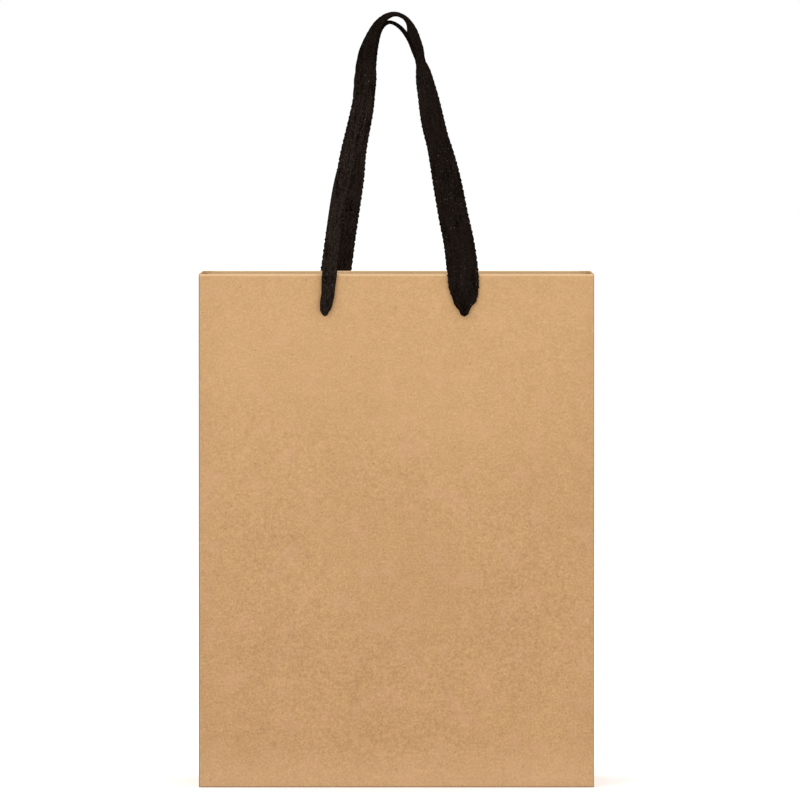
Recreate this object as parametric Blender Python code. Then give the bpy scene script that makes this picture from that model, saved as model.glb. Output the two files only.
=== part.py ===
"""A kraft paper gift bag with two black ribbon handles, standing open.

+X runs to the right, the front faces -Y and +Z is up. The origin is on the floor, at the middle of the base.
The bag folds flat: each side gusset folds in along its centre crease, the back panel comes up to the front
panel, and the base turns up inside about the front panel's bottom edge. Every body has an empty on its axis.
"""

import math

import bmesh
import bpy
from mathutils import Vector

MM = 0.001

# Driving dimensions
WIDTH = 254 * MM
DEPTH = 127 * MM
HEIGHT = 330 * MM
PAPER = 0.25 * MM
CARD = 0.7 * MM
BOARD = 0.8 * MM
LAYER_GAP = 0.2 * MM

HEM_HEIGHT = 42 * MM
CARD_HEIGHT = 34 * MM
CARD_DROP = 3 * MM
CARD_SETBACK = 3 * MM

# The holes were punched a little left of the middle
HOLE_CENTRE_X = -1.4 * MM
HOLE_HALF_SPACING = 44.5 * MM
HOLE_BELOW_RIM = 25 * MM
HOLE_RADIUS = 3.2 * MM
HOLE_CUT_DEPTH = 10 * MM

RIBBON_WIDTH = 20 * MM
RIBBON_THICKNESS = 0.7 * MM
RIBBON_OFF_FACE = 0.8 * MM
SWING_AXIS_OFF_FACE = 3 * MM
FRONT_LOOP_HEIGHT = 192 * MM
BACK_LOOP_HEIGHT = 187 * MM

# The ribbon is gathered at its holes and turns edge-on over the top
GATHERED_WIDTH = 7 * MM
GATHERED_THICKNESS = 4.4 * MM
GATHER_HEIGHT = 14 * MM
TWIST_FROM = 0.2
TWIST_OVER = 0.9

NECK_RADIUS = 2.2 * MM
NECK_REACH = 0.35 * MM
KNOT_RADIUS = 6.5 * MM
KNOT_DEPTH = 11 * MM
KNOT_GAP = 0.5 * MM

# Room for the creases to fold, from the crease's axis
EDGE_CREASE = 1.6 * MM
CENTRE_CREASE = 0.8 * MM
BASE_REAR_CREASE = 1.55 * MM
GUSSET_HEM_SETBACK = 4 * MM
PANEL_HEM_SETBACK = 10.5 * MM
FOOT_RISE = 9 * MM
FOOT_GAP = 0.6 * MM

# The glued bottom and its loose board, as gaps from the creases around them
FLAP_MITRE = 14 * MM
FRONT_FLAP_END = 22 * MM
BACK_FLAP_END = -20 * MM
SIDE_FLAP_REACH = 58 * MM
SIDE_FLAP_SLANT = 24 * MM
SIDE_FLAP_GAP = 5 * MM
BOARD_FRONT_GAP = 7.6 * MM
BOARD_REAR_GAP = 2 * MM
BOARD_SIDE_GAP = 3 * MM

# The flap that closes the sheet into a tube, inside the back panel's left side
SEAM_LOW = 135 * MM
SEAM_BELOW_HEM = 2 * MM
SEAM_NEAR = 7 * MM
SEAM_FAR = 22 * MM

# Worked out from them
HALF_WIDTH = WIDTH / 2
HALF_DEPTH = DEPTH / 2
MID = PAPER / 2
AXIS_X = HALF_WIDTH - MID
AXIS_Y = HALF_DEPTH - MID
GUSSET_RUN = 2 * AXIS_Y
HOLE_Z = HEIGHT - HOLE_BELOW_RIM
CARD_OFFSET = PAPER + LAYER_GAP
PANEL_HEM_OFFSET = CARD_OFFSET + CARD + LAYER_GAP
GUSSET_HEM_OFFSET = PAPER + LAYER_GAP


def clear_scene():
    for obj in list(bpy.data.objects):
        bpy.data.objects.remove(obj, do_unlink=True)


def material(name, colour, roughness):
    made = bpy.data.materials.new(name)
    made.use_nodes = True
    shader = made.node_tree.nodes["Principled BSDF"]
    shader.inputs["Base Color"].default_value = (*colour, 1.0)
    shader.inputs["Roughness"].default_value = roughness
    shader.inputs["Metallic"].default_value = 0.0
    made.diffuse_color = (*colour, 1.0)
    return made


def pivot(name, place, parent=None):
    """An empty on a body's joint axis, at a place given in world coordinates."""
    empty = bpy.data.objects.new(name, None)
    bpy.context.collection.objects.link(empty)
    empty.empty_display_size = 0.02
    place = Vector(place)
    empty.location = place
    empty["place"] = list(place)
    if parent:
        empty.parent = parent
        empty.location = place - Vector(parent["place"])
    return empty


def finish_object(name, bm, mat, body, smooth=False):
    """Makes the object from a bmesh in world coordinates, with its origin on its body's axis."""
    origin = Vector(body["place"])
    bmesh.ops.translate(bm, verts=bm.verts, vec=-origin)
    bmesh.ops.recalc_face_normals(bm, faces=bm.faces)
    mesh = bpy.data.meshes.new(name)
    bm.to_mesh(mesh)
    bm.free()
    mesh.materials.append(mat)
    if smooth:
        mesh.shade_smooth()
        mesh.set_sharp_from_angle(angle=math.radians(40))
    obj = bpy.data.objects.new(name, mesh)
    bpy.context.collection.objects.link(obj)
    obj.parent = body
    return obj


def plate(name, outline, through, mat, body):
    """A flat sheet: its outline on one face, and the vector through its thickness."""
    bm = bmesh.new()
    face = bm.faces.new([bm.verts.new(point) for point in outline])
    grown = bmesh.ops.extrude_face_region(bm, geom=[face])
    verts = [item for item in grown["geom"] if isinstance(item, bmesh.types.BMVert)]
    bmesh.ops.translate(bm, verts=verts, vec=through)
    return finish_object(name, bm, mat, body)


def upright_sheet(name, half_width, low, high, side, offset, thickness, mat, body):
    """A sheet parallel to the front (side -1) or back (side 1) panel, offset inwards from its outer face."""
    y = side * (HALF_DEPTH - offset)
    corners = [(-half_width, low), (half_width, low), (half_width, high), (-half_width, high)]
    outline = [(x, y, z) for x, z in corners]
    return plate(name, outline, (0, -side * thickness, 0), mat, body)


def gusset_sheet(name, outline, side, offset, mat, body):
    """A sheet in a gusset's plane. The outline is (distance from the front crease's axis, height)."""
    x = side * (HALF_WIDTH - offset)
    points = [(x, -AXIS_Y + run, z) for run, z in outline]
    return plate(name, points, (-side * PAPER, 0, 0), mat, body)


def hole_cutter(name, side):
    """Two pins along Y that cut the ribbon holes through a panel, its card and its hem."""
    bm = bmesh.new()
    for x in (HOLE_CENTRE_X - HOLE_HALF_SPACING, HOLE_CENTRE_X + HOLE_HALF_SPACING):
        pin = bmesh.ops.create_cone(
            bm,
            cap_ends=True,
            segments=20,
            radius1=HOLE_RADIUS,
            radius2=HOLE_RADIUS,
            depth=HOLE_CUT_DEPTH,
        )
        for vert in pin["verts"]:
            vert.co = Vector((vert.co.x + x, side * HALF_DEPTH - vert.co.z, HOLE_Z + vert.co.y))
    bmesh.ops.recalc_face_normals(bm, faces=bm.faces)
    mesh = bpy.data.meshes.new(name)
    bm.to_mesh(mesh)
    bm.free()
    cutter = bpy.data.objects.new(name, mesh)
    bpy.context.collection.objects.link(cutter)
    cutter.hide_render = True
    cutter.display_type = "WIRE"
    return cutter


def punch(obj, cutter):
    cut = obj.modifiers.new("ribbon holes", "BOOLEAN")
    cut.operation = "DIFFERENCE"
    cut.object = cutter


def smooth_step(value):
    value = min(max(value, 0.0), 1.0)
    return value * value * (3 - 2 * value)


def curve_through(points, steps):
    """Points along a Catmull-Rom curve through the given points."""
    ends = [2 * points[0] - points[1], *points, 2 * points[-1] - points[-2]]
    found = []
    for i in range(len(points) - 1):
        before, start, end, after = ends[i : i + 4]
        for step in range(steps):
            t = step / steps
            found.append(
                0.5
                * (
                    2 * start
                    + (end - before) * t
                    + (2 * before - 5 * start + 4 * end - after) * t**2
                    + (3 * start - before - 3 * end + after) * t**3
                )
            )
    return [*found, points[-1]]


def loop_route(loop_height):
    """The ribbon's centre line in a front view, from the left hole over the top to the right hole."""
    leg = [(39.5, 27), (36.3, 56), (31.8, 86), (26, 113), (20.8, 138), (16.5, 161), (9.5, 181)]
    scale = loop_height / FRONT_LOOP_HEIGHT
    right = [Vector((HOLE_HALF_SPACING, 0, 0))]
    right.extend(Vector((x * MM, 0, z * MM * scale)) for x, z in leg)
    left = [Vector((-point.x, 0, point.z)) for point in right]
    return [*left, Vector((0, 0, loop_height)), *reversed(right)]


def ribbon_handle(name, side, loop_height, mat, body):
    """One ribbon loop. It faces forward at the holes and turns edge-on over the top, half a turn in all."""
    route = curve_through(loop_route(loop_height), 4)
    axis_y = side * (HALF_DEPTH + SWING_AXIS_OFF_FACE)
    flat_y = side * (HALF_DEPTH + RIBBON_OFF_FACE)
    bm = bmesh.new()
    rings = []
    for i, point in enumerate(route):
        ahead = route[min(i + 1, len(route) - 1)] - route[max(i - 1, 0)]
        inward = Vector((ahead.z, 0, -ahead.x)).normalized()
        rise = point.z / loop_height
        turn = math.radians(90) * smooth_step((rise - TWIST_FROM) / TWIST_OVER)
        if point.x == 0:
            turn = math.radians(90)
        spread = smooth_step(point.z / GATHER_HEIGHT)
        half_width = 0.5 * (GATHERED_WIDTH + (RIBBON_WIDTH - GATHERED_WIDTH) * spread)
        half_thickness = 0.5 * (GATHERED_THICKNESS + (RIBBON_THICKNESS - GATHERED_THICKNESS) * spread)
        across = inward * math.cos(turn) + Vector((0, side, 0)) * math.sin(turn)
        through = inward * -math.sin(turn) + Vector((0, side, 0)) * math.cos(turn)
        centre = Vector((HOLE_CENTRE_X + point.x, axis_y + (flat_y - axis_y) * spread, HOLE_Z + point.z))
        across *= half_width
        through *= half_thickness
        corners = [across + through, across - through, -across - through, through - across]
        rings.append([bm.verts.new(centre + corner) for corner in corners])
    for ring, following in zip(rings, rings[1:]):
        for k in range(4):
            bm.faces.new([ring[k], ring[(k + 1) % 4], following[(k + 1) % 4], following[k]])
    bm.faces.new(rings[0])
    bm.faces.new(rings[-1][::-1])
    return finish_object(name, bm, mat, body, smooth=True)


def knot(name, x, side, mat, body):
    """The stopper knot inside the bag, turned about the hole's axis, with its neck out through the hole."""
    start = PANEL_HEM_OFFSET + PAPER + KNOT_GAP
    profile = [(0, -NECK_REACH), (NECK_RADIUS, -NECK_REACH), (NECK_RADIUS, start)]
    for step in range(1, 9):
        angle = math.pi * step / 9
        radius = max(KNOT_RADIUS * math.sin(angle), NECK_RADIUS)
        profile.append((radius, start + KNOT_DEPTH / 2 * (1 - math.cos(angle))))
    profile.append((0, start + KNOT_DEPTH))
    bm = bmesh.new()
    verts = [bm.verts.new((radius, 0, along)) for radius, along in profile]
    edges = [bm.edges.new(pair) for pair in zip(verts, verts[1:])]
    bmesh.ops.spin(
        bm, geom=verts + edges, cent=(0, 0, 0), axis=(0, 0, 1), angle=2 * math.pi, steps=18, use_merge=True
    )
    bmesh.ops.remove_doubles(bm, verts=bm.verts, dist=0.01 * MM)
    for vert in bm.verts:
        across, up, along = vert.co
        vert.co = Vector((x + across, side * (HALF_DEPTH - along), HOLE_Z + up))
    return finish_object(name, bm, mat, body, smooth=True)


def make_panel(label, side, body, papers, cutter):
    """A big face of the bag: its sheet, the reinforcing card behind the rim and the rim's turned-in hem."""
    kraft, grey = papers
    sheet = upright_sheet(f"{label}_panel", HALF_WIDTH, 0, HEIGHT, side, 0, PAPER, kraft, body)
    card_top = HEIGHT - CARD_DROP
    card = upright_sheet(
        f"{label}_reinforcing_card",
        HALF_WIDTH - PANEL_HEM_SETBACK - CARD_SETBACK,
        card_top - CARD_HEIGHT,
        card_top,
        side,
        CARD_OFFSET,
        CARD,
        grey,
        body,
    )
    hem = upright_sheet(
        f"{label}_top_hem",
        HALF_WIDTH - PANEL_HEM_SETBACK,
        HEIGHT - HEM_HEIGHT,
        HEIGHT,
        side,
        PANEL_HEM_OFFSET,
        PAPER,
        kraft,
        body,
    )
    for obj in (sheet, card, hem):
        punch(obj, cutter)


def make_gusset(label, side, front_body, back_body, base_body, kraft):
    """One side wall: two halves either side of the centre crease, their hems and the foot below them."""
    middle = GUSSET_RUN / 2
    spans = {
        "front": (EDGE_CREASE, middle - CENTRE_CREASE, front_body),
        "back": (middle + CENTRE_CREASE, GUSSET_RUN - EDGE_CREASE, back_body),
    }
    for half, (near, far, body) in spans.items():
        outline = [(near, near + FOOT_RISE), (far, far + FOOT_RISE), (far, HEIGHT), (near, HEIGHT)]
        gusset_sheet(f"{label}_gusset_{half}_half", outline, side, 0, kraft, body)
        low, high = HEIGHT - HEM_HEIGHT, HEIGHT
        start = near if half == "back" else GUSSET_HEM_SETBACK
        end = far if half == "front" else GUSSET_RUN - GUSSET_HEM_SETBACK
        hem = [(start, low), (end, low), (end, high), (start, high)]
        gusset_sheet(f"{label}_gusset_{half}_hem", hem, side, GUSSET_HEM_OFFSET, kraft, body)
    low = PAPER + LAYER_GAP
    far = GUSSET_RUN - BASE_REAR_CREASE
    top = FOOT_RISE - FOOT_GAP
    foot = [(EDGE_CREASE, low), (far, low), (far, far + top), (EDGE_CREASE, EDGE_CREASE + top)]
    gusset_sheet(f"{label}_gusset_foot", foot, side, 0, kraft, base_body)


def make_base(body, kraft, grey):
    """The glued bottom: front flap outermost, then the back flap, the side flaps and the loose board."""
    front = -AXIS_Y + EDGE_CREASE
    rear = AXIS_Y - BASE_REAR_CREASE
    layer = PAPER + LAYER_GAP
    inner_half_width = HALF_WIDTH - PAPER - LAYER_GAP

    def level_sheet(name, outline, level, thickness, mat):
        plate(name, [(x, y, level) for x, y in outline], (0, 0, thickness), mat, body)

    def trapezium(half_width, fold, cut_edge):
        """A flap's outline, from its fold to its narrower cut edge."""
        narrow = half_width - FLAP_MITRE
        return [(-half_width, fold), (half_width, fold), (narrow, cut_edge), (-narrow, cut_edge)]

    level_sheet("base_front_flap", trapezium(inner_half_width, front, FRONT_FLAP_END), 0, PAPER, kraft)
    level_sheet("base_back_flap", trapezium(inner_half_width, rear, BACK_FLAP_END), layer, PAPER, kraft)
    flap_front = front + SIDE_FLAP_GAP
    for label, side in (("left", -1), ("right", 1)):
        edge = side * inner_half_width
        tip = side * (inner_half_width - SIDE_FLAP_REACH)
        near, far = flap_front + SIDE_FLAP_SLANT, rear - SIDE_FLAP_SLANT
        outline = [(edge, flap_front), (edge, rear), (tip, far), (tip, near)]
        level_sheet(f"base_{label}_flap", outline, 2 * layer, PAPER, kraft)
    board_half = HALF_WIDTH - BOARD_SIDE_GAP
    board_front = front + BOARD_FRONT_GAP
    board_rear = rear - BOARD_REAR_GAP
    outline = [
        (-board_half, board_front),
        (board_half, board_front),
        (board_half, board_rear),
        (-board_half, board_rear),
    ]
    level_sheet("base_board", outline, 3 * layer, BOARD, grey)


def make_seam_flap(body, kraft):
    y = HALF_DEPTH - PAPER - LAYER_GAP
    near, far = SEAM_NEAR - AXIS_X, SEAM_FAR - AXIS_X
    high = HEIGHT - HEM_HEIGHT - SEAM_BELOW_HEM
    outline = [(near, y, SEAM_LOW), (far, y, SEAM_LOW), (far, y, high), (near, y, high)]
    plate("side_seam_flap", outline, (0, -PAPER, 0), kraft, body)


def main():
    clear_scene()
    kraft = material("kraft paper", (0.56, 0.34, 0.165), 0.85)
    grey = material("grey board", (0.42, 0.37, 0.31), 0.9)
    black = material("black twill ribbon", (0.012, 0.009, 0.008), 0.75)

    front = pivot("front", (0, -AXIS_Y, 0))
    right_front = pivot("right_gusset_front", (AXIS_X, -AXIS_Y, 0), front)
    right_back = pivot("right_gusset_back", (AXIS_X, 0, 0), right_front)
    left_front = pivot("left_gusset_front", (-AXIS_X, -AXIS_Y, 0), front)
    left_back = pivot("left_gusset_back", (-AXIS_X, 0, 0), left_front)
    back = pivot("back", (AXIS_X, AXIS_Y, 0), right_back)
    base = pivot("base", (0, -AXIS_Y, MID), front)
    swing = HALF_DEPTH + SWING_AXIS_OFF_FACE
    front_loop = pivot("front_loop", (0, -swing, HOLE_Z), front)
    back_loop = pivot("back_loop", (0, swing, HOLE_Z), back)

    for label, side, body in (("front", -1, front), ("back", 1, back)):
        make_panel(label, side, body, (kraft, grey), hole_cutter(f"{label}_hole_cutter", side))
        for hand, way in (("left", -1), ("right", 1)):
            knot(f"{label}_{hand}_knot", HOLE_CENTRE_X + way * HOLE_HALF_SPACING, side, black, body)

    make_gusset("right", 1, right_front, right_back, base, kraft)
    make_gusset("left", -1, left_front, left_back, base, kraft)
    make_base(base, kraft, grey)

    make_seam_flap(back, kraft)
    ribbon_handle("front_handle", -1, FRONT_LOOP_HEIGHT, black, front_loop)
    ribbon_handle("back_handle", 1, BACK_LOOP_HEIGHT, black, back_loop)


main()
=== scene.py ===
"""Looks of the kraft paper gift bag: creased sheets, ribbon loops, stopper knots, materials and studio."""

import math

import bmesh
import bpy
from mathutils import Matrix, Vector


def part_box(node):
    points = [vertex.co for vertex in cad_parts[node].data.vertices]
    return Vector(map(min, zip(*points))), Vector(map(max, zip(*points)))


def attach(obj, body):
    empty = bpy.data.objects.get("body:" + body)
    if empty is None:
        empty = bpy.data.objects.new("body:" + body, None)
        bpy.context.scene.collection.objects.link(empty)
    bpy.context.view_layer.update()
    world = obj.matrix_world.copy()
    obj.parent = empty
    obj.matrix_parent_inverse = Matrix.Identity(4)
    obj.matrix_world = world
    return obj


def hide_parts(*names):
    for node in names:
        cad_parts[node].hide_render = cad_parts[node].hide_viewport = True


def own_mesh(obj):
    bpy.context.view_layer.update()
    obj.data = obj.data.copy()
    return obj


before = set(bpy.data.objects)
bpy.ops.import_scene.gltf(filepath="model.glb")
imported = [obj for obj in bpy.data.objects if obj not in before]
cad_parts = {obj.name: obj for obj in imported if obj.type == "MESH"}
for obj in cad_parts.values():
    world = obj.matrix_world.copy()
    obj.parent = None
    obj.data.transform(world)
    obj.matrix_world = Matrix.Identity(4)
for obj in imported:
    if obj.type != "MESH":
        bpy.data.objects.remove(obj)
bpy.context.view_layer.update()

MM = 0.001

# Sizes read from the frame
PANEL_LOW, PANEL_HIGH = (Vector(corner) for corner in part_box("front_panel"))
HALF_WIDTH = PANEL_HIGH.x
HALF_DEPTH = -PANEL_LOW.y
HEIGHT = PANEL_HIGH.z
KNOT_LOW, KNOT_HIGH = (Vector(corner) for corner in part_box("front_left_knot"))
RIGHT_KNOT_LOW, RIGHT_KNOT_HIGH = (Vector(corner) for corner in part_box("front_right_knot"))
HOLE_Z = (KNOT_LOW.z + KNOT_HIGH.z) / 2
LEFT_HOLE_X = (KNOT_LOW.x + KNOT_HIGH.x) / 2
RIGHT_HOLE_X = (RIGHT_KNOT_LOW.x + RIGHT_KNOT_HIGH.x) / 2
HOLE_CENTRE_X = (LEFT_HOLE_X + RIGHT_HOLE_X) / 2
HEM_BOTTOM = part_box("front_top_hem")[0][2]
FOOT_TOP_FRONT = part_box("right_gusset_front_half")[0][2]
GUSSET_START_RUN = HALF_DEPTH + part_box("right_gusset_front_half")[0][1]

# Paper: its thickness, the turned-in rim, and the fold between a big face and a side wall
PAPER = 0.25 * MM
RIM_RADIUS = 0.85 * MM
THIN_RIM = 0.3 * MM
CORNER_RADIUS = 1.1 * MM
FOLD_RETURN = 1.65 * MM
GUSSET_START = CORNER_RADIUS + 0.5 * MM

# Side walls: how high their diagonal creases start at the folds
CREASE_RISE = 9 * MM

# At the bottom corners the big face reaches further round the fold, over the foot's inset front edge
FOOT_COVER = 2.4 * MM
FOOT_COVER_HEIGHT = 6.5 * MM
FOOT_COVER_FADE = 2.5 * MM
FOOT_START = 3.4 * MM
FOOT_INSET = 0.5 * MM
FOOT_REACH = 1.8 * MM

RIBBON_HALF = 10 * MM
RIBBON_THICKNESS = 0.55 * MM
END_ROUNDING = 2.4 * MM
NECK_REACH = 2.7 * MM

# Camera: square on to the front, a little above the bag's middle, from far away
CAMERA_DISTANCE = 6.69
CAMERA_LENS = 469
CAMERA_ELEVATION = math.radians(1.6)
CAMERA_TARGET = Vector((2.25 * MM, -HALF_DEPTH, 249.0 * MM))


def clamp(value, low=0.0, high=1.0):
    return min(max(value, low), high)


def smooth_step(value):
    value = clamp(value)
    return value * value * (3 - 2 * value)


def mix(a, b, t):
    return a + (b - a) * t


# ---------------------------------------------------------------- materials


class Nodes:
    """A short way to write a material's node tree."""

    def __init__(self, name):
        self.material = bpy.data.materials.new(name)
        self.material.use_nodes = True
        self.tree = self.material.node_tree
        self.shader = self.tree.nodes["Principled BSDF"]

    def add(self, kind, inputs=None, **settings):
        node = self.tree.nodes.new(kind)
        for key, value in settings.items():
            setattr(node, key, value)
        for key, value in (inputs or {}).items():
            self.feed(node.inputs[key], value)
        return node

    def feed(self, socket, value):
        if isinstance(value, bpy.types.NodeSocket):
            self.tree.links.new(value, socket)
        else:
            socket.default_value = value

    def math(self, operation, *values):
        return self.add("ShaderNodeMath", dict(enumerate(values)), operation=operation).outputs[0]

    def noise(self, vector, scale, detail=3.0, roughness=0.55, stretch=None):
        if stretch:
            vector = self.add("ShaderNodeMapping", {"Vector": vector, "Scale": stretch}).outputs[0]
        inputs = {"Vector": vector, "Scale": scale, "Detail": detail, "Roughness": roughness}
        return self.add("ShaderNodeTexNoise", inputs).outputs["Fac"]

    def band(self, value, low, high, to_low=0.0, to_high=1.0):
        inputs = {"Value": value, "From Min": low, "From Max": high, "To Min": to_low, "To Max": to_high}
        return self.add("ShaderNodeMapRange", inputs, interpolation_type="SMOOTHSTEP").outputs[0]

    def blend(self, factor, first, second, mode="MIX"):
        node = self.add("ShaderNodeMix", data_type="RGBA", blend_type=mode)
        self.feed(node.inputs[0], factor)
        self.feed(node.inputs[6], first)
        self.feed(node.inputs[7], second)
        return node.outputs[2]

    def bump(self, height, distance, strength=1.0, normal=None):
        inputs = {"Height": height, "Distance": distance, "Strength": strength}
        if normal:
            inputs["Normal"] = normal
        return self.add("ShaderNodeBump", inputs).outputs[0]


def rgba(red, green, blue):
    return (red, green, blue, 1.0)


# Colours of painted shade (creases, side folds, bottom fold, sides of the faces) and of painted light at the
# rim
PAINTED_SHADE_BROWN = rgba(0.27, 0.15, 0.07)
FOLD_SHADE_BROWN = rgba(0.17, 0.115, 0.075)
PAINTED_RIM_LIGHT = rgba(0.86, 0.62, 0.37)


def kraft_paper():
    """Brown uncoated kraft: cloudy formation, fine grain and flecks, with painted shade along the creases,
    folds and sides, painted light towards the top, near the floor and inside the rim, and a painted highlight
    along the rim.
    """
    n = Nodes("kraft paper")
    place = n.add("ShaderNodeTexCoord").outputs["Object"]
    clouds = n.noise(place, 14, 4, 0.6)
    mottle = n.noise(place, 170, 4, 0.62)
    grain = n.noise(place, 760, 3, 0.6)
    fibres = n.noise(place, 380, 3, 0.6, stretch=(0.45, 0.45, 1.3))
    tone = n.math("MULTIPLY_ADD", n.math("SUBTRACT", clouds, 0.5), 0.55, 0.49)
    tone = n.math("MULTIPLY_ADD", n.math("SUBTRACT", mottle, 0.5), 0.7, tone)
    tone = n.math("MULTIPLY_ADD", n.math("SUBTRACT", grain, 0.5), 2.3, tone)
    tone = n.math("MULTIPLY_ADD", n.math("SUBTRACT", fibres, 0.5), 0.5, tone)
    colour = n.blend(tone, rgba(0.346, 0.195, 0.084), rgba(0.502, 0.303, 0.140))
    rosy = n.band(n.noise(place, 62, 2, 0.5), 0.5, 0.72, 0.0, 0.3)
    colour = n.blend(rosy, colour, rgba(0.50, 0.285, 0.165))

    split = n.add("ShaderNodeSeparateXYZ", {"Vector": place})
    width, depth, height = (split.outputs[axis] for axis in "XYZ")
    # Painted light: the paper grows paler towards the top, as if lit from above.
    painted_top_light = n.band(height, 0.13, HEIGHT, 0.0, 0.34)
    colour = n.blend(painted_top_light, colour, rgba(0.575, 0.348, 0.165))
    # Painted light: paler near the bottom, standing in for light bounced up off the floor.
    painted_floor_light = n.band(height, 0.035, 0.0, 0.0, 0.3)
    colour = n.blend(painted_floor_light, colour, rgba(0.62, 0.40, 0.22))

    off_side = n.math("SUBTRACT", HALF_WIDTH, n.math("ABSOLUTE", width))
    off_middle = n.math("ABSOLUTE", depth)
    # Painted shade: each face a little darker towards both of its sides.
    painted_side_shade = n.band(off_side, 22 * MM, 0.0, 0.0, 0.08)
    colour = n.blend(painted_side_shade, colour, PAINTED_SHADE_BROWN)
    # Painted shade along the side walls' centre crease and diagonal creases.
    on_gusset = n.band(off_side, 4 * MM, 2.5 * MM)
    centre_crease_shade = n.band(off_middle, 1.3 * MM, 0.3 * MM)
    from_face = n.math("SUBTRACT", HALF_DEPTH, off_middle)
    foot_crease_shade = n.math("SUBTRACT", from_face, n.math("SUBTRACT", height, CREASE_RISE))
    foot_crease_shade = n.band(n.math("ABSOLUTE", foot_crease_shade), 1.5 * MM, 0.4 * MM)
    crease = n.math("MULTIPLY", n.math("MAXIMUM", centre_crease_shade, foot_crease_shade), on_gusset)
    colour = n.blend(n.math("MULTIPLY", crease, 0.24), colour, PAINTED_SHADE_BROWN)
    # Painted shade along the side folds, darker at the left fold, and along the bottom fold.
    near_face = n.band(off_middle, HALF_DEPTH - 2.1 * MM, HALF_DEPTH - 0.9 * MM)
    fold_shade = n.math("MULTIPLY", n.band(off_side, 0.9 * MM, 0.2 * MM), near_face)
    fold_shade = n.math("MULTIPLY", fold_shade, n.band(width, -20 * MM, 20 * MM, 0.9, 0.55))
    on_face = n.band(off_middle, HALF_DEPTH - 1.5 * MM, HALF_DEPTH - 0.6 * MM)
    on_wall = n.math("MAXIMUM", on_face, n.band(off_side, 1.4 * MM, 0.7 * MM))
    bottom_fold_shade = n.math("MULTIPLY", n.band(height, 1.0 * MM, 0.35 * MM, 0.0, 0.55), on_wall)
    colour = n.blend(n.math("MAXIMUM", fold_shade, bottom_fold_shade), colour, FOLD_SHADE_BROWN)

    cells = n.add("ShaderNodeTexVoronoi", {"Vector": place, "Scale": 210.0, "Randomness": 1.0})
    chance = n.add("ShaderNodeSeparateColor", {"Color": cells.outputs["Color"]}).outputs[0]
    dot = n.band(cells.outputs["Distance"], 0.14, 0.05)
    speck = n.math("MULTIPLY", dot, n.math("GREATER_THAN", chance, 0.86))
    colour = n.blend(n.math("MULTIPLY", speck, 0.55), colour, rgba(0.13, 0.065, 0.028))
    pale_fibres = n.noise(place, 560, 1, 0.4, stretch=(0.5, 0.5, 1.2))
    colour = n.blend(n.band(pale_fibres, 0.66, 0.76, 0.0, 0.2), colour, rgba(0.64, 0.44, 0.25))
    # Painted highlight along the top of the rim, and painted light on the inside of the turned-in rim just
    # below it.
    rim = n.band(height, HEIGHT - 1.8 * MM, HEIGHT - 1.0 * MM, 0.0, 0.34)
    inside = n.band(off_middle, HALF_DEPTH - 0.5 * MM, HALF_DEPTH - 1.1 * MM)
    painted_turned_in_light = n.math("MULTIPLY", inside, n.band(off_side, 2 * MM, 4 * MM))
    painted_turned_in_light = n.math("MULTIPLY", painted_turned_in_light, n.band(height, HEIGHT - 5 * MM, HEIGHT - 2.5 * MM, 0.0, 0.52))
    colour = n.blend(n.math("MAXIMUM", rim, painted_turned_in_light), colour, PAINTED_RIM_LIGHT)
    n.feed(n.shader.inputs["Base Color"], colour)
    n.feed(n.shader.inputs["Roughness"], n.band(mottle, 0.3, 0.7, 0.78, 0.9))
    n.shader.inputs["Specular IOR Level"].default_value = 0.28
    surface = n.math("ADD", n.math("MULTIPLY", fibres, 0.5), n.math("MULTIPLY", grain, 0.5))
    normal = n.bump(surface, 0.00008, 0.6)
    normal = n.bump(mottle, 0.00025, 0.4, normal)
    n.feed(n.shader.inputs["Normal"], normal)
    return n.material


def grey_board():
    """Recycled board: grey-brown, with pale and dark chips and a felted surface."""
    n = Nodes("grey board")
    place = n.add("ShaderNodeTexCoord").outputs["Object"]
    mottle = n.noise(place, 260, 5, 0.7)
    grain = n.noise(place, 1100, 3, 0.6)
    amount = n.math("MULTIPLY_ADD", n.math("SUBTRACT", grain, 0.5), 0.8, mottle)
    colour = n.blend(amount, rgba(0.30, 0.255, 0.205), rgba(0.50, 0.445, 0.37))
    chips = n.noise(place, 420, 2, 0.5)
    colour = n.blend(n.band(chips, 0.68, 0.75, 0.0, 0.5), colour, rgba(0.12, 0.10, 0.09))
    n.feed(n.shader.inputs["Base Color"], colour)
    n.shader.inputs["Roughness"].default_value = 0.92
    n.feed(n.shader.inputs["Normal"], n.bump(amount, 0.0001, 0.5))
    return n.material


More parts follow.
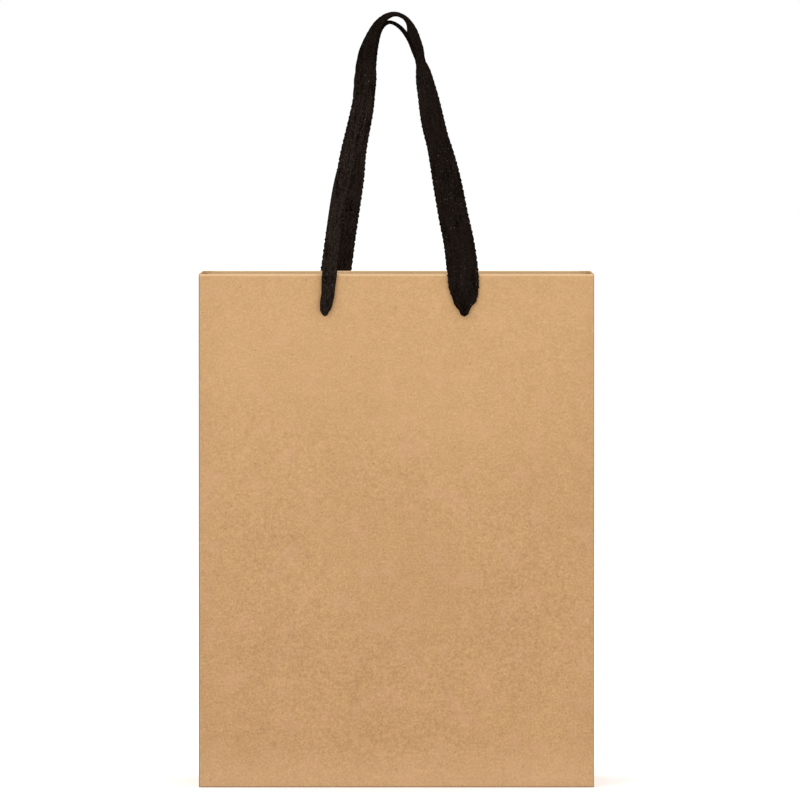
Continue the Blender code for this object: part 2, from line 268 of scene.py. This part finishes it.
def twill_ribbon():
    """Black woven tape with diagonal ribs and lint, painted glints on the weave, and painted shade towards
    the right leg and over the arch. Its UV map holds metres across and along it.
    """
    n = Nodes("black twill ribbon")
    across_along = n.add("ShaderNodeUVMap", uv_map="ribbon").outputs["UV"]
    split = n.add("ShaderNodeSeparateXYZ", {"Vector": across_along})
    across, along = split.outputs["X"], split.outputs["Y"]
    place = n.add("ShaderNodeTexCoord").outputs["Object"]
    wander = n.math("MULTIPLY", n.noise(across_along, 240, 2), 2.4)
    slant = n.math("MULTIPLY", across, 2 * math.pi / (1.15 * MM))
    slant = n.math("ADD", slant, n.math("MULTIPLY", along, 2 * math.pi / (2.6 * MM)))
    ribs = n.math("MULTIPLY_ADD", n.math("SINE", n.math("ADD", slant, wander)), 0.5, 0.5)
    picks = n.math("MULTIPLY", along, 2 * math.pi / (0.9 * MM))
    picks = n.math("MULTIPLY_ADD", n.math("SINE", picks), 0.5, 0.5)
    edge = n.band(n.math("ABSOLUTE", across), 8.8 * MM, 9.6 * MM)
    weave = n.blend(edge, ribs, picks)
    streaks = n.band(n.noise(across_along, 620, 3, 0.6, stretch=(1.0, 0.09, 1.0)), 0.36, 0.66)
    speckle = n.band(n.noise(place, 900, 2, 0.6), 0.4, 0.64)
    worn = n.band(n.noise(place, 60, 4, 0.6), 0.4, 0.6)
    base = n.blend(worn, rgba(0.0024, 0.0012, 0.0008), rgba(0.0095, 0.0060, 0.0044))
    base = n.blend(n.math("MULTIPLY", streaks, 0.62), base, rgba(0.0210, 0.0128, 0.0096))
    # Painted highlight: a paler colour on the weave's ribs stands in for their sheen.
    glints = n.math("MULTIPLY", n.math("MULTIPLY", weave, speckle), 0.8)
    base = n.blend(glints, base, rgba(0.0400, 0.0310, 0.0260))
    where = n.add("ShaderNodeSeparateXYZ", {"Vector": place})
    # Painted shade: the ribbon darker towards its right-hand leg and over the top of its arch.
    painted_leg_shade = n.band(where.outputs["X"], -5 * MM, 30 * MM, 0.0, 0.5)
    painted_arch_shade = n.band(where.outputs["Z"], HOLE_Z + 110 * MM, HOLE_Z + 175 * MM, 0.0, 0.5)
    base = n.blend(n.math("MAXIMUM", painted_leg_shade, painted_arch_shade), base, rgba(0.0030, 0.0016, 0.0012))
    lint = n.noise(place, 1300, 1, 0.4)
    base = n.blend(n.band(lint, 0.73, 0.78, 0.0, 0.8), base, rgba(0.15, 0.135, 0.12))
    n.feed(n.shader.inputs["Base Color"], base)
    n.feed(n.shader.inputs["Roughness"], n.band(weave, 0.0, 1.0, 0.95, 0.75))
    n.shader.inputs["Specular IOR Level"].default_value = 0.0
    n.feed(n.shader.inputs["Normal"], n.bump(weave, 0.0003, 0.9))
    return n.material


# ---------------------------------------------------------------- mesh helpers


def make_object(name, bm, material, thickness=0.0, smooth=True):
    """A mesh object from the bmesh. A thickness grows the sheet to the side its faces turn away from."""
    mesh = bpy.data.meshes.new(name)
    bm.to_mesh(mesh)
    bm.free()
    mesh.materials.append(material)
    obj = bpy.data.objects.new(name, mesh)
    bpy.context.collection.objects.link(obj)
    if smooth:
        mesh.shade_smooth()
    if thickness:
        solid = obj.modifiers.new("thickness", "SOLIDIFY")
        solid.thickness = thickness
        solid.offset = -1
        bake(obj)
        obj.data.set_sharp_from_angle(angle=math.radians(50))
    return obj


def bake(obj):
    """Applies the object's modifiers."""
    graph = bpy.context.evaluated_depsgraph_get()
    solid = bpy.data.meshes.new_from_object(obj.evaluated_get(graph))
    obj.modifiers.clear()
    obj.data = solid


def grid(points, flip=False):
    """A bmesh sheet from rows of points."""
    bm = bmesh.new()
    rows = [[bm.verts.new(point) for point in row] for row in points]
    for lower, upper in zip(rows, rows[1:]):
        for k in range(len(lower) - 1):
            corners = [lower[k], lower[k + 1], upper[k + 1], upper[k]]
            bm.faces.new(corners[::-1] if flip else corners)
    return bm


def evenly(start, end, count):
    return [mix(start, end, i / count) for i in range(count + 1)]


def steps_between(start, end, spacing):
    return evenly(start, end, max(2, math.ceil(abs(end - start) / spacing)))


# ---------------------------------------------------------------- paper


def hump(value, centre, spread):
    return math.exp(-(((value - centre) / spread) ** 2))


def ripple(x, z, seed):
    """Slow waves in a big paper face, from a few crossing sines."""
    total = 0.0
    for k in range(4):
        reach = 26 + 9.5 * k
        lean = 0.5 + 0.45 * math.sin(seed * 2.3 + k * 1.9)
        total += math.sin(z / (reach * MM) + lean * x / (38 * MM) + seed * (k + 1) * 1.7) / (1.3 + k * 0.5)
    return total / 2.2


# Buckles along a fold: height in mm, strength, and spread in mm
FOLD_BUCKLES = [
    (247, -0.5, 9),
    (214, -0.6, 10),
    (172, -0.9, 12),
    (131, -0.9, 13),
    (57, -0.8, 13),
    (17, -0.6, 9),
]


def face_relief(x, z, seed):
    """How far a big face stands out of its flat plane, in metres. It is nothing along the folds."""
    from_side = HALF_WIDTH - abs(x)
    hold = smooth_step(from_side / (16 * MM)) * smooth_step(z / (34 * MM))
    hold *= 1 - 0.8 * smooth_step((z - HEIGHT + 60 * MM) / (40 * MM))
    relief = 0.55 * MM * ripple(x, z, seed) * hold
    relief += 0.8 * MM * hold * hump(x, 0, 70 * MM) * hump(z, 120 * MM, 90 * MM)
    free = smooth_step(from_side / (3 * MM)) * smooth_step(z / (24 * MM))
    near_left = free * hump(x, -HALF_WIDTH + 7 * MM, 17 * MM)
    near_right = free * hump(x, HALF_WIDTH - 7 * MM, 13 * MM)
    for height, strength, spread in FOLD_BUCKLES:
        relief += strength * 0.55 * MM * near_left * hump(z, height * MM, spread * MM)
        relief += strength * 0.3 * MM * near_right * hump(z, (height * 0.93 + 9) * MM, spread * MM)
    return relief


def face_point(side, x, inward, z, seed):
    """A point of the front (side -1) or back (side 1) face, with its relief."""
    out = face_relief(x, z, seed) if abs(x) < HALF_WIDTH else 0.0
    return (x, side * (HALF_DEPTH - inward + out), z)


def corner_columns(spacing):
    """(x, inward) along a level line of a big face, with a rounded fold at each end."""
    flat = HALF_WIDTH - CORNER_RADIUS
    columns = []
    for k in range(7):
        angle = math.pi / 2 * k / 6
        columns.append((flat + CORNER_RADIUS * math.sin(angle), CORNER_RADIUS * (1 - math.cos(angle))))
    columns.append((HALF_WIDTH, FOLD_RETURN))
    left = [(-x, inward) for x, inward in reversed(columns)]
    middle = [(x, 0.0) for x in steps_between(-flat, flat, spacing)[1:-1]]
    return left + middle + columns


def big_face(label, side, body, seed, material):
    """The outer layer of the front or back face, folded round both sides and under at the bottom."""
    bottom = [(CORNER_RADIUS + 0.35 * MM, 0.0)]
    for k in range(6):
        angle = math.pi / 2 * k / 5
        bottom.append((CORNER_RADIUS * (1 - math.sin(angle)), CORNER_RADIUS * (1 - math.cos(angle))))
    rows = bottom + [(0.0, z) for z in steps_between(CORNER_RADIUS, HEIGHT - RIM_RADIUS, 3 * MM)[1:]]
    columns = corner_columns(3 * MM)
    points = []
    for tuck, z in rows:
        cover = FOOT_COVER * (1 - smooth_step((z - FOOT_COVER_HEIGHT) / FOOT_COVER_FADE))
        row = []
        for k, (x, inward) in enumerate(columns):
            if k in (0, len(columns) - 1):
                inward += cover
            row.append(face_point(side, x, max(inward, tuck), z, seed))
        points.append(row)
    bm = grid(points, flip=side > 0)
    obj = make_object(f"{label}_paper", bm, material, PAPER)
    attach(obj, body)
    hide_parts(f"{label}_panel")


def rim_profile(depth):
    """(inward, height) over a turned-in rim: up the outside, over and down the inside to its cut edge."""
    profile = [(0.0, HEIGHT - RIM_RADIUS - 0.05 * MM)]
    for k in range(9):
        angle = math.pi * k / 8
        inward = depth / 2 * (1 - math.cos(angle))
        profile.append((inward, HEIGHT - RIM_RADIUS + RIM_RADIUS * math.sin(angle)))
    down = steps_between(HEIGHT - RIM_RADIUS, HEM_BOTTOM, 4 * MM)[1:]
    return profile + [(depth, z) for z in down]


def rim_thinning(from_end, depth, reach):
    """The share of a rim's depth that is left near its end, so that the rims clear each other when folded."""
    return mix(THIN_RIM / depth, 1, clamp(from_end / reach) ** 1.6)


def panel_hem(label, side, body, seed, material):
    """The rim of a big face, turned in over the reinforcing card."""
    depth = HALF_DEPTH - abs(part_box(f"{label}_top_hem")[0 if side > 0 else 1][1])
    end = HALF_WIDTH - 0.5 * MM
    inner_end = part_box(f"{label}_top_hem")[1][0]
    points = []
    for inward, z in rim_profile(depth):
        reach = end if z >= HEIGHT - RIM_RADIUS - 0.1 * MM else inner_end
        row = []
        for x in evenly(-reach, reach, 120):
            thin = rim_thinning(end - abs(x), depth, end - inner_end)
            row.append(face_point(side, x, inward * thin, z, seed))
        points.append(row)
    obj = make_object(f"{label}_rim_paper", grid(points, flip=side > 0), material, PAPER)
    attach(obj, body)
    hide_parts(f"{label}_top_hem")


def gusset_relief(run, z, seed):
    """A gusset's waves, with the valley of its centre crease. run is the distance from the front fold."""
    middle = HALF_DEPTH
    hold = smooth_step(min(run, 2 * middle - run) / (10 * MM)) * smooth_step(z / (20 * MM))
    wave = 0.3 * MM * ripple(run * 1.3, z, seed) * hold
    valley = -0.9 * MM * hump(run, middle, 2.2 * MM)
    return wave * (1 - hump(run, middle, 8 * MM)) + valley


def gusset_point(side, run, z, inward, seed):
    out = gusset_relief(run, z, seed)
    return (side * (HALF_WIDTH - inward + out), -HALF_DEPTH + run, z)


def gusset_half(label, half, side, body, seed, material):
    """Half of a side wall, from its fold with the big face to the centre crease, and its turned-in rim."""
    if half == "front":
        run_from, run_to = GUSSET_START, HALF_DEPTH
    else:
        run_from, run_to = HALF_DEPTH, 2 * HALF_DEPTH - GUSSET_START
    runs = steps_between(run_from, run_to, 2 * MM)
    points = []
    for k in range(81):
        share = k / 80
        row = []
        for run in runs:
            low = FOOT_TOP_FRONT + run - GUSSET_START_RUN
            z = mix(low, HEIGHT - RIM_RADIUS, share)
            row.append(gusset_point(side, run, z, 0.0, seed))
        points.append(row)
    obj = make_object(f"{label}_gusset_{half}_paper", grid(points, flip=side < 0), material, PAPER)
    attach(obj, body)
    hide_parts(f"{label}_gusset_{half}_half")
    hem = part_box(f"{label}_gusset_{half}_hem")
    depth = HALF_WIDTH - abs(hem[0][0] if side > 0 else hem[1][0])
    hem_from, hem_to = hem[0][1] + HALF_DEPTH, hem[1][1] + HALF_DEPTH
    points = []
    for inward, z in rim_profile(depth):
        share = smooth_step(inward / depth)
        low, high = mix(run_from, hem_from, share), mix(run_to, hem_to, share)
        row = []
        for run in evenly(low, high, 60):
            from_fold = min(run, 2 * HALF_DEPTH - run) - GUSSET_START
            thin = rim_thinning(from_fold, depth, 5 * MM)
            row.append(gusset_point(side, run, z, inward * thin, seed))
        points.append(row)
    obj = make_object(f"{label}_gusset_{half}_rim_paper", grid(points, flip=side < 0), material, PAPER)
    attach(obj, body)
    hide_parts(f"{label}_gusset_{half}_hem")


def gusset_foot(label, side, seed, material):
    """The foot of a side wall, below the diagonal creases. It flattens onto the base as the bag folds."""
    runs = steps_between(FOOT_START, 2 * HALF_DEPTH - GUSSET_START, 2.5 * MM)
    insets = [FOOT_INSET * (1 - smooth_step((run - 6 * MM) / (5 * MM))) for run in runs]
    low = CORNER_RADIUS + 0.1 * MM
    rise = FOOT_TOP_FRONT - GUSSET_START_RUN + 0.15 * MM

    def place(run, share, inset):
        """A point of the foot. Above the front face's return, its front edge reaches forward to the fold."""
        height = mix(low, rise + run, share)
        reach = FOOT_REACH * smooth_step((height - 5.5 * MM) / (4 * MM))
        run -= reach * (1 - smooth_step((run - FOOT_START) / (6 * MM)))
        return gusset_point(side, run, mix(low, rise + run, share), inset, seed)

    points = []
    for k in range(5):
        angle = math.pi / 2 * k / 4
        tuck = CORNER_RADIUS * (1 - math.sin(angle))
        z = CORNER_RADIUS * (1 - math.cos(angle)) + 0.1 * MM
        points.append([gusset_point(side, run, z, tuck + inset, seed) for run, inset in zip(runs, insets)])
    for k in range(1, 41):
        points.append([place(run, k / 40, inset) for run, inset in zip(runs, insets)])
    obj = make_object(f"{label}_gusset_foot_paper", grid(points, flip=side < 0), material, PAPER)
    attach(obj, "base")
    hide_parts(f"{label}_gusset_foot")
    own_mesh(obj)


# ---------------------------------------------------------------- ribbon


SPLINE_STEPS = 40


def catmull_rom(before, start, end, after, t):
    """The value at t, from 0 to 1, between start and end."""
    slope = end - before
    bend = 2 * before - 5 * start + 4 * end - after
    twist = 3 * start - before - 3 * end + after
    return 0.5 * (2 * start + slope * t + bend * t**2 + twist * t**3)


def spline(stations, count):
    """Rows of values along a Catmull-Rom curve through the stations, evenly spaced by their x and z."""
    ends = [[2 * a - b for a, b in zip(stations[0], stations[1])], *stations]
    ends.append([2 * a - b for a, b in zip(stations[-1], stations[-2])])
    dense = []
    for i in range(len(stations) - 1):
        nearby = list(zip(*ends[i : i + 4]))
        for step in range(SPLINE_STEPS):
            dense.append([catmull_rom(*values, step / SPLINE_STEPS) for values in nearby])
    dense.append(list(stations[-1]))
    lengths = [0.0]
    for a, b in zip(dense, dense[1:]):
        lengths.append(lengths[-1] + math.hypot(b[0] - a[0], b[1] - a[1]))
    rows, k = [], 0
    for i in range(count + 1):
        target = lengths[-1] * i / count
        while k < len(dense) - 2 and lengths[k + 1] < target:
            k += 1
        span = max(lengths[k + 1] - lengths[k], 1e-9)
        t = clamp((target - lengths[k]) / span)
        rows.append([mix(a, b, t) for a, b in zip(dense[k], dense[k + 1])])
    return rows, lengths[-1]


def ribbon_section(share, gather, crease):
    """(across, out) of one point of the ribbon's section, in metres. share runs from -1 to 1 across it.

    gather is 1 where the ribbon is drawn together at its hole, crease 1 where both edges fold behind.
    """
    core = 1 - 0.56 * crease
    distance = abs(share)
    wing = max(0.0, distance - core)
    fold = math.radians(168 if share < 0 else 160) * crease * smooth_step(wing / 0.08)
    across = (min(distance, core) + wing * math.cos(fold)) * RIBBON_HALF
    out = -wing * math.sin(fold) * RIBBON_HALF
    out += crease * 0.8 * MM * (hump(share, 0.0, 0.12) - 0.5 * hump(distance, 0.27, 0.1))
    across *= 1 - 0.73 * gather
    pleat = -math.cos(2 * math.pi * share + 0.35) * (1 - 0.3 * share * share) * (1 - crease)
    out = mix(out, 1.5 * MM * pleat + out, gather)
    return math.copysign(across, share), out


def ribbon_loop(name, side, stations, body, cad_node, material):
    """A ribbon loop. Stations hold x, height over the holes, off-face, turn in degrees, gather and crease."""
    rows, length = spline([[*s] for s in stations], 420)
    length *= MM
    count = 26
    bm = bmesh.new()
    uv = bm.loops.layers.uv.new("ribbon")
    places, grid_rows = {}, []
    for i, (x, z, off, turn, gather, crease) in enumerate(rows):
        ahead, behind = rows[min(i + 1, len(rows) - 1)], rows[max(i - 1, 0)]
        heading = Vector((ahead[0] - behind[0], 0, ahead[1] - behind[1]))
        inner = Vector((heading.z, 0, -heading.x)).normalized()
        angle = math.radians(turn)
        outward = Vector((0, side, 0))
        across = inner * math.cos(angle) + outward * math.sin(angle)
        through = outward * math.cos(angle) - inner * math.sin(angle)
        centre = Vector((HOLE_CENTRE_X + x * MM, side * (HALF_DEPTH + off * MM), HOLE_Z + z * MM))
        along = length * i / (len(rows) - 1)
        from_end = min(along, length - along) / END_ROUNDING
        cap = max(0.06, math.sqrt(1 - (1 - clamp(from_end)) ** 2))
        row = []
        for k in range(count + 1):
            share = 2 * k / count - 1
            a, b = ribbon_section(share, clamp(gather), clamp(crease))
            if k in (0, count):
                a *= 1 + 0.022 * math.sin(along / (0.37 * MM)) + 0.022 * math.sin(along / (0.61 * MM) + share)
            sway = 0.25 * MM * math.sin(along / (9 * MM) + 1.3 * share) * (1 - clamp(gather))
            vert = bm.verts.new(centre + (across * a + through * (b + sway)) * cap)
            places[vert] = (share * RIBBON_HALF, along)
            row.append(vert)
        grid_rows.append(row)
    for lower, upper in zip(grid_rows, grid_rows[1:]):
        for k in range(count):
            face = bm.faces.new([lower[k], upper[k], upper[k + 1], lower[k + 1]])
            for loop in face.loops:
                loop[uv].uv = places[loop.vert]
    bm.normal_update()
    obj = make_object(name, bm, material)
    solid = obj.modifiers.new("thickness", "SOLIDIFY")
    solid.thickness = RIBBON_THICKNESS
    solid.offset = 0
    bake(obj)
    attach(obj, body)
    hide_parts(cad_node)


# x from the holes' middle and height over the holes in mm, mm off the face, turn, gather, crease
FRONT_RIBBON = [
    (-44.6, -0.6, 3.0, 0, 0.55, 0.97),
    (-44.6, 1.5, 3.0, 0, 0.53, 1.0),
    (-44.2, 2.9, 2.9, 0, 0.38, 1.0),
    (-43.9, 4.4, 2.8, 0, 0.27, 1.0),
    (-43.3, 8, 2.5, 0, 0.2, 1.0),
    (-42.6, 12, 2.3, 0, 0.17, 1.0),
    (-42.2, 18, 2.3, 0, 0.1, 1.0),
    (-41.6, 25, 2.4, 0, 0.02, 1.0),
    (-38.9, 52, 3.2, 4, 0.0, 0.97),
    (-33.6, 85, 3.0, 8, 0.0, 0.92),
    (-27.3, 104, 2.2, 14, 0.0, 0.88),
    (-21.2, 131, 1.0, 22, 0.0, 0.7),
    (-19.6, 150, 0.6, 38, 0.0, 0.45),
    (-18.0, 167, 0.6, 58, 0.0, 0.2),
    (-12.1, 182.2, 0.6, 73, 0.0, 0.06),
    (-6.0, 189.2, 0.6, 79, 0.0, 0.0),
    (0.2, 191.6, 0.6, 83, 0.0, 0.0),
    (6.0, 189.8, 0.6, 83, 0.0, 0.0),
    (9.6, 185.8, 0.6, 79, 0.0, 0.0),
    (11.6, 180.5, 0.6, 71, 0.0, 0.0),
    (13.9, 175, 0.6, 72, 0.0, 0.0),
    (16.0, 169, 0.6, 74, 0.0, 0.0),
    (17.0, 161.5, 0.6, 74, 0.0, 0.0),
    (18.4, 155, 0.8, 64, 0.0, 0.0),
    (20.1, 146, 1.0, 56, 0.0, 0.0),
    (23.5, 131, 1.4, 48, 0.0, 0.0),
    (29.2, 104, 1.8, 41, 0.0, 0.0),
    (34.3, 82, 2.0, 31, 0.0, 0.0),
    (38.1, 61.7, 1.8, 20, 0.0, 0.0),
    (41.4, 45, 1.5, 12, 0.0, 0.0),
    (43.6, 30, 1.3, 3, 0.0, 0.0),
    (44.5, 18, 1.4, 0, 0.02, 0.0),
    (45.1, 11.2, 1.7, 0, 0.2, 0.0),
    (44.9, 8, 2.0, 0, 0.33, 0.0),
    (44.7, 6, 2.3, 0, 0.46, 0.0),
    (44.7, 4.1, 2.6, 0, 0.67, 0.0),
    (44.9, 2.8, 2.8, 0, 0.79, 0.0),
    (44.9, 1.4, 3.0, 0, 0.94, 0.0),
    (44.9, -0.2, 3.0, 0, 1.0, 0.0),
    (44.9, -2.1, 3.0, 0, 1.0, 0.0),
]
BACK_RIBBON = [
    (-44.6, -2.1, 3.0, 0, 1.0, 0.0),
    (-44.6, 0.8, 3.0, 0, 0.98, 0.0),
    (-44.2, 3.5, 2.8, 0, 0.72, 0.0),
    (-43.2, 7, 2.2, 0, 0.38, 0.0),
    (-41.6, 12, 1.7, 0, 0.1, 0.0),
    (-38.3, 25, 1.3, 0, 0.0, 0.0),
    (-34.8, 50, 1.4, 8, 0.0, 0.0),
    (-29.3, 84, 1.6, 24, 0.0, 0.0),
    (-26.6, 103.4, 1.6, 34, 0.0, 0.0),
    (-20.9, 131, 1.2, 45, 0.0, 0.0),
    (-17.7, 156, 0.8, 56, 0.0, 0.0),
    (-14.2, 172, 0.6, 68, 0.0, 0.0),
    (-9.6, 183, 0.6, 80, 0.0, 0.0),
    (-3.4, 187.4, 0.6, 86, 0.0, 0.0),
    (3.6, 184.2, 0.6, 85, 0.0, 0.0),
    (9.4, 176.8, 0.6, 82, 0.0, 0.0),
    (13.2, 168.5, 0.6, 79, 0.0, 0.0),
    (16.4, 161, 0.6, 75, 0.0, 0.0),
    (20.3, 146.7, 0.8, 58, 0.0, 0.0),
    (24.6, 122.4, 1.2, 46, 0.0, 0.0),
    (30.0, 103.4, 1.6, 36, 0.0, 0.0),
    (34.8, 81, 1.8, 22, 0.0, 0.0),
    (38.7, 60, 1.6, 12, 0.0, 0.0),
    (42.2, 43, 1.3, 5, 0.0, 0.0),
    (44.2, 24.7, 1.3, 0, 0.0, 0.0),
    (44.9, 12, 1.7, 0, 0.15, 0.0),
    (44.8, 7, 2.2, 0, 0.38, 0.0),
    (44.8, 3.5, 2.8, 0, 0.72, 0.0),
    (44.8, 0.8, 3.0, 0, 0.98, 0.0),
    (44.8, -2.1, 3.0, 0, 1.0, 0.0),
]


# The knot: a trefoil of gathered ribbon, and the neck that leads from it through the hole
TREFOIL_SIZE = 1.25 * MM
TREFOIL_RISE = 1.28
STRAND_WIDE = 2.2 * MM
STRAND_DEEP = 2.6 * MM
STRAND_ROUND = 0.018
KNOT_MIDDLE = 4.6 * MM
KNOT_STEPS = 72
KNOT_SIDES = 14
NECK_TIP = 1.1 * MM
NECK_RADIUS = 2.2 * MM


def trefoil(t):
    """A point of the trefoil's line, with t from 0 to two pi."""
    x = math.sin(t) + 2 * math.sin(2 * t)
    z = math.cos(t) - 2 * math.cos(2 * t)
    return Vector((x, -math.sin(3 * t) * TREFOIL_RISE, z))


def bridge(bm, uv, rings, places):
    """Faces from each ring of points to the next, with the points' places as UVs."""
    for ring, following in zip(rings, rings[1:]):
        for k in range(len(ring)):
            after = (k + 1) % len(ring)
            face = bm.faces.new([ring[k], ring[after], following[after], following[k]])
            for loop in face.loops:
                loop[uv].uv = places[loop.vert]


def knot(label, hand, side, body, material):
    """The stopper knot inside the bag, with its neck in the hole."""
    low, high = (Vector(corner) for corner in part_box(f"{label}_{hand}_knot"))
    centre_x, centre_z = (low.x + high.x) / 2, (low.z + high.z) / 2
    inner = low.y if side > 0 else high.y
    depth = abs(inner - side * HALF_DEPTH)
    bm = bmesh.new()
    uv = bm.loops.layers.uv.new("ribbon")
    places = {}
    rings = []
    for i in range(KNOT_STEPS):
        t = 2 * math.pi * i / KNOT_STEPS
        centre = trefoil(t) * TREFOIL_SIZE
        heading = (trefoil(t + 0.01) - trefoil(t)).normalized()
        sideways = heading.cross(Vector((0, 1, 0))).normalized()
        up = heading.cross(sideways).normalized()
        ring = []
        for k in range(KNOT_SIDES):
            angle = 2 * math.pi * k / KNOT_SIDES
            pleat = 1 + 0.07 * math.cos(4 * angle + 0.5 * math.sin(3 * t))
            across = sideways * math.cos(angle) * STRAND_WIDE
            place = centre + (across + up * math.sin(angle) * STRAND_DEEP) * pleat
            y = side * (HALF_DEPTH - depth + KNOT_MIDDLE + place.y)
            vert = bm.verts.new((centre_x + place.x, y, centre_z + place.z))
            places[vert] = (k / KNOT_SIDES * STRAND_ROUND, t * 4 * MM)
            ring.append(vert)
        rings.append(ring)
    bridge(bm, uv, rings + rings[:1], places)
    neck = []
    for along in evenly(-NECK_REACH, depth - 6 * MM, 9):
        width = mix(NECK_TIP, NECK_RADIUS, smooth_step((along + NECK_REACH) / NECK_REACH))
        ring = []
        for k in range(KNOT_SIDES):
            angle = 2 * math.pi * k / KNOT_SIDES
            radius = width * (1 + 0.08 * math.cos(4 * angle))
            x, z = centre_x + radius * math.cos(angle), centre_z + radius * math.sin(angle)
            vert = bm.verts.new((x, side * (HALF_DEPTH - along), z))
            places[vert] = (k / KNOT_SIDES * STRAND_ROUND, along)
            ring.append(vert)
        neck.append(ring)
    bridge(bm, uv, neck, places)
    bm.faces.new(neck[0])
    bm.faces.new(neck[-1][::-1])
    bmesh.ops.recalc_face_normals(bm, faces=bm.faces)
    obj = make_object(f"{label}_{hand}_knot_ribbon", bm, material)
    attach(obj, body)
    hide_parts(f"{label}_{hand}_knot")


# ---------------------------------------------------------------- studio


def add_area(name, place, aim, size, power):
    light = bpy.data.lights.new(name, "AREA")
    light.shape = "RECTANGLE"
    light.size, light.size_y = size
    light.energy = power
    obj = bpy.data.objects.new(name, light)
    bpy.context.collection.objects.link(obj)
    obj.location = place
    obj.rotation_euler = (Vector(aim) - Vector(place)).to_track_quat("-Z", "Y").to_euler()


def studio():
    camera = bpy.data.cameras.new("camera")
    camera.lens = CAMERA_LENS
    camera.sensor_width = 36
    camera.clip_end = 100
    holder = bpy.data.objects.new("camera", camera)
    bpy.context.collection.objects.link(holder)
    away = Vector((0, -math.cos(CAMERA_ELEVATION), math.sin(CAMERA_ELEVATION)))
    holder.location = CAMERA_TARGET + away * CAMERA_DISTANCE
    holder.rotation_euler = (-away).to_track_quat("-Z", "Y").to_euler()
    bpy.context.scene.camera = holder

    floor = Nodes("studio floor")
    floor.shader.inputs["Base Color"].default_value = rgba(0.93, 0.93, 0.93)
    floor.shader.inputs["Roughness"].default_value = 0.95
    floor.shader.inputs["Emission Color"].default_value = rgba(1.0, 1.0, 1.0)
    floor.shader.inputs["Emission Strength"].default_value = 0.2
    bm = bmesh.new()
    bmesh.ops.create_grid(bm, x_segments=1, y_segments=1, size=30)
    ground = make_object("floor", bm, floor.material, smooth=False)
    ground.location.z = -0.1 * MM

    bpy.context.scene.view_settings.view_transform = "Standard"
    world = bpy.data.worlds.new("studio")
    world.use_nodes = True
    background = world.node_tree.nodes["Background"]
    background.inputs["Color"].default_value = rgba(1.0, 1.0, 1.0)
    background.inputs["Strength"].default_value = 1.0
    bpy.context.scene.world = world
    add_area("key", (-1.4, -2.6, 2.3), (0, 0, 0.2), (1.6, 1.6), 25)
    add_area("fill", (2.2, -2.2, 1.2), (0, 0, 0.2), (1.8, 1.8), 10)
    add_area("top", (0, 0.3, 2.6), (0, 0, 0.3), (1.6, 1.6), 9)


def main():
    kraft = kraft_paper()
    board = grey_board()
    ribbon = twill_ribbon()
    studio()

    for label, side, body, seed in (("front", -1, "front", 1.0), ("back", 1, "back", 4.0)):
        big_face(label, side, body, seed, kraft)
        panel_hem(label, side, body, seed, kraft)
        for hand in ("left", "right"):
            knot(label, hand, side, body, ribbon)
    for label, side, seed in (("right", 1, 7.0), ("left", -1, 9.0)):
        gusset_half(label, "front", side, f"{label}_gusset_front", seed, kraft)
        gusset_half(label, "back", side, f"{label}_gusset_back", seed, kraft)
        gusset_foot(label, side, seed, kraft)
    ribbon_loop("front_ribbon", -1, FRONT_RIBBON, "front_loop", "front_handle", ribbon)
    ribbon_loop("back_ribbon", 1, BACK_RIBBON, "back_loop", "back_handle", ribbon)

    for node in ("base_front_flap", "base_back_flap", "base_left_flap", "base_right_flap", "side_seam_flap"):
        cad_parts[node].data.materials.clear()
        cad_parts[node].data.materials.append(kraft)
    for node in ("front_reinforcing_card", "back_reinforcing_card", "base_board"):
        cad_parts[node].data.materials.clear()
        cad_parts[node].data.materials.append(board)


main()
